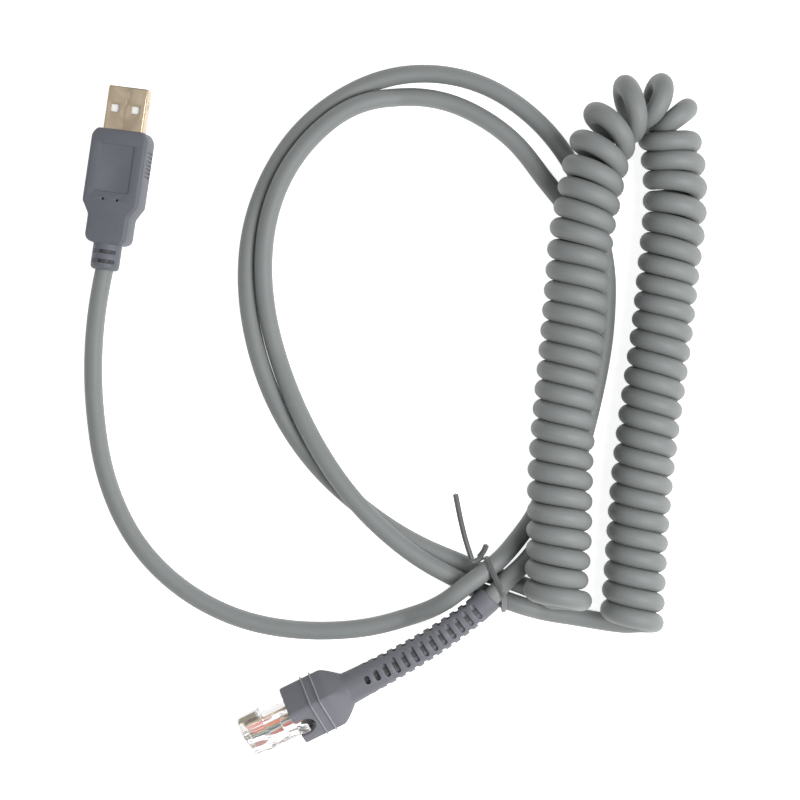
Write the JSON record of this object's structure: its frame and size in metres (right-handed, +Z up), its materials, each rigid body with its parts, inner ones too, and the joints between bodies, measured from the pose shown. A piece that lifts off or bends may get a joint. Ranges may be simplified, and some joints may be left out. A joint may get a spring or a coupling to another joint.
{
  "type": "coiled scanner interface cable",
  "caption": "Coiled data cable for a handheld barcode scanner, folded and tied: USB-A plug at one end, clear latching modular plug in a slotted boot at the other, grey round cord between.",
  "frame": {"origin": "centre of the whole bundle's bounding box in plan, on the table it lies on", "axes": "+Z up, away from the table; the folded coil runs along Y on the +X side, its bend at +Y, and the USB plug points towards +Y on the -X side"},
  "size_m": [0.1799, 0.2008, 0.0262],
  "materials": {
    "cord_jacket": "satin grey PVC jacket",
    "overmould": "matte blue-grey soft PVC",
    "plug_shell": "plated sheet steel, faint warm tint",
    "insulator": "white thermoplastic",
    "contact_gold": "gold plated",
    "clear_plastic": "clear polycarbonate (see-through plastic)",
    "tie_sheath": "grey PVC sheath",
    "tie_wire": "annealed steel wire",
    "wire_dark_red": "coloured wire insulation",
    "wire_white": "coloured wire insulation",
    "wire_salmon": "coloured wire insulation",
    "wire_cream": "coloured wire insulation",
    "wire_black": "coloured wire insulation",
    "wire_green": "coloured wire insulation",
    "wire_orange": "coloured wire insulation",
    "wire_yellow": "coloured wire insulation"
  },
  "bodies": {
    "bundle": {"cord_inner_loop": "cord_jacket", "cord_outer_loop": "cord_jacket", "tie_band": "tie_sheath", "tie_twist": "tie_sheath"},
    "coil_bend": {"coil_bend": "cord_jacket"},
    "coil_left_1": {"coil_left_1": "cord_jacket"},
    "coil_left_2": {"coil_left_2": "cord_jacket"},
    "coil_left_3": {"coil_left_3": "cord_jacket"},
    "coil_left_4": {"coil_left_4": "cord_jacket"},
    "coil_right_1": {"coil_right_1": "cord_jacket"},
    "coil_right_2": {"coil_right_2": "cord_jacket"},
    "coil_right_3": {"coil_right_3": "cord_jacket"},
    "coil_right_4": {"coil_right_4": "cord_jacket"},
    "lead_lower": {"cord_usb_lead_lower": "cord_jacket"},
    "lead_upper": {"cord_usb_lead_upper": "cord_jacket"},
    "usb_plug": {"usb_overmould": "overmould", "usb_shell": "plug_shell", "usb_contact_carrier": "insulator", "usb_contact_1": "contact_gold", "usb_contact_2": "contact_gold", "usb_contact_3": "contact_gold", "usb_contact_4": "contact_gold", "usb_wire_1": "wire_dark_red", "usb_wire_2": "wire_white", "usb_wire_3": "wire_green", "usb_wire_4": "wire_black", "cord_usb_stub": "cord_jacket"},
    "modular_plug": {"modular_boot": "overmould", "modular_plug_body": "clear_plastic", "modular_contact_01": "contact_gold", "modular_contact_02": "contact_gold", "modular_contact_03": "contact_gold", "modular_contact_04": "contact_gold", "modular_contact_05": "contact_gold", "modular_contact_06": "contact_gold", "modular_contact_07": "contact_gold", "modular_contact_08": "contact_gold", "modular_contact_09": "contact_gold", "modular_contact_10": "contact_gold", "modular_wire_1": "wire_dark_red", "modular_wire_2": "wire_white", "modular_wire_3": "wire_salmon", "modular_wire_4": "wire_cream", "modular_wire_5": "wire_black", "modular_wire_6": "wire_green", "modular_wire_7": "wire_orange", "modular_wire_8": "wire_yellow", "cord_modular_stub": "cord_jacket"},
    "latch": {"modular_latch": "clear_plastic"},
    "tie_long": {"tie_tail_long": "tie_sheath", "tie_core_long": "tie_wire"},
    "tie_short": {"tie_tail_short": "tie_sheath", "tie_core_short": "tie_wire"}
  },
  "joints": [
    {"name": "coil_pull", "type": "slide", "parent": "bundle", "child": "coil_bend", "axis": [0.0906, 0.9959, 0], "range_m": [0, 0.12], "stiffness_N_per_m": 6},
    {"name": "coil_left_1_follow", "type": "slide", "parent": "bundle", "child": "coil_left_1", "axis": [0.0906, 0.9959, 0], "range_m": [0, 0.016]},
    {"name": "coil_right_1_follow", "type": "slide", "parent": "bundle", "child": "coil_right_1", "axis": [0.0906, 0.9959, 0], "range_m": [0, 0.016]},
    {"name": "coil_left_2_follow", "type": "slide", "parent": "bundle", "child": "coil_left_2", "axis": [0.0906, 0.9959, 0], "range_m": [0, 0.046]},
    {"name": "coil_right_2_follow", "type": "slide", "parent": "bundle", "child": "coil_right_2", "axis": [0.0906, 0.9959, 0], "range_m": [0, 0.046]},
    {"name": "coil_left_3_follow", "type": "slide", "parent": "bundle", "child": "coil_left_3", "axis": [0.0906, 0.9959, 0], "range_m": [0, 0.076]},
    {"name": "coil_right_3_follow", "type": "slide", "parent": "bundle", "child": "coil_right_3", "axis": [0.0906, 0.9959, 0], "range_m": [0, 0.076]},
    {"name": "coil_left_4_follow", "type": "slide", "parent": "bundle", "child": "coil_left_4", "axis": [0.0906, 0.9959, 0], "range_m": [0, 0.106]},
    {"name": "coil_right_4_follow", "type": "slide", "parent": "bundle", "child": "coil_right_4", "axis": [0.0906, 0.9959, 0], "range_m": [0, 0.106]},
    {"name": "usb_lead_swing", "type": "hinge", "parent": "bundle", "child": "lead_lower", "pos_m": [-0.02372, -0.06453, 0.00265], "axis": [0, 0, 1], "range_deg": [-3, 25]},
    {"name": "usb_lead_curl", "type": "hinge", "parent": "lead_lower", "child": "lead_upper", "pos_m": [-0.08105, -0.0266, 0.00265], "axis": [0, 0, 1], "range_deg": [-5, 35]},
    {"name": "usb_plug_flex", "type": "hinge", "parent": "lead_upper", "child": "usb_plug", "pos_m": [-0.08438, 0.03695, 0.00564], "axis": [0, 0, 1], "range_deg": [-10, 30]},
    {"name": "modular_plug_lift", "type": "hinge", "parent": "bundle", "child": "modular_plug", "pos_m": [0.03062, -0.05155, 0.01168], "axis": [-0.717, 0.6971, 0], "range_deg": [0, 20]},
    {"name": "latch_press", "type": "hinge", "parent": "modular_plug", "child": "latch", "pos_m": [-0.03898, -0.09654, 0.01234], "axis": [-0.3114, 0.6348, 0.7071], "range_deg": [0, 6]},
    {"name": "tie_long_bend", "type": "hinge", "parent": "bundle", "child": "tie_long", "pos_m": [0.02272, -0.04302, 0.01138], "axis": [0.9523, 0.3051, 0], "range_deg": [-5, 35]},
    {"name": "tie_short_bend", "type": "hinge", "parent": "bundle", "child": "tie_short", "pos_m": [0.02472, -0.04252, 0.01218], "axis": [0.8, -0.6, 0], "range_deg": [-5, 25]}
  ],
  "couplings": [
    {"joint": "coil_left_1_follow", "follows": "coil_pull", "ratio": 0.125},
    {"joint": "coil_right_1_follow", "follows": "coil_pull", "ratio": 0.125},
    {"joint": "coil_left_2_follow", "follows": "coil_pull", "ratio": 0.375},
    {"joint": "coil_right_2_follow", "follows": "coil_pull", "ratio": 0.375},
    {"joint": "coil_left_3_follow", "follows": "coil_pull", "ratio": 0.625},
    {"joint": "coil_right_3_follow", "follows": "coil_pull", "ratio": 0.625},
    {"joint": "coil_left_4_follow", "follows": "coil_pull", "ratio": 0.875},
    {"joint": "coil_right_4_follow", "follows": "coil_pull", "ratio": 0.875}
  ]
}
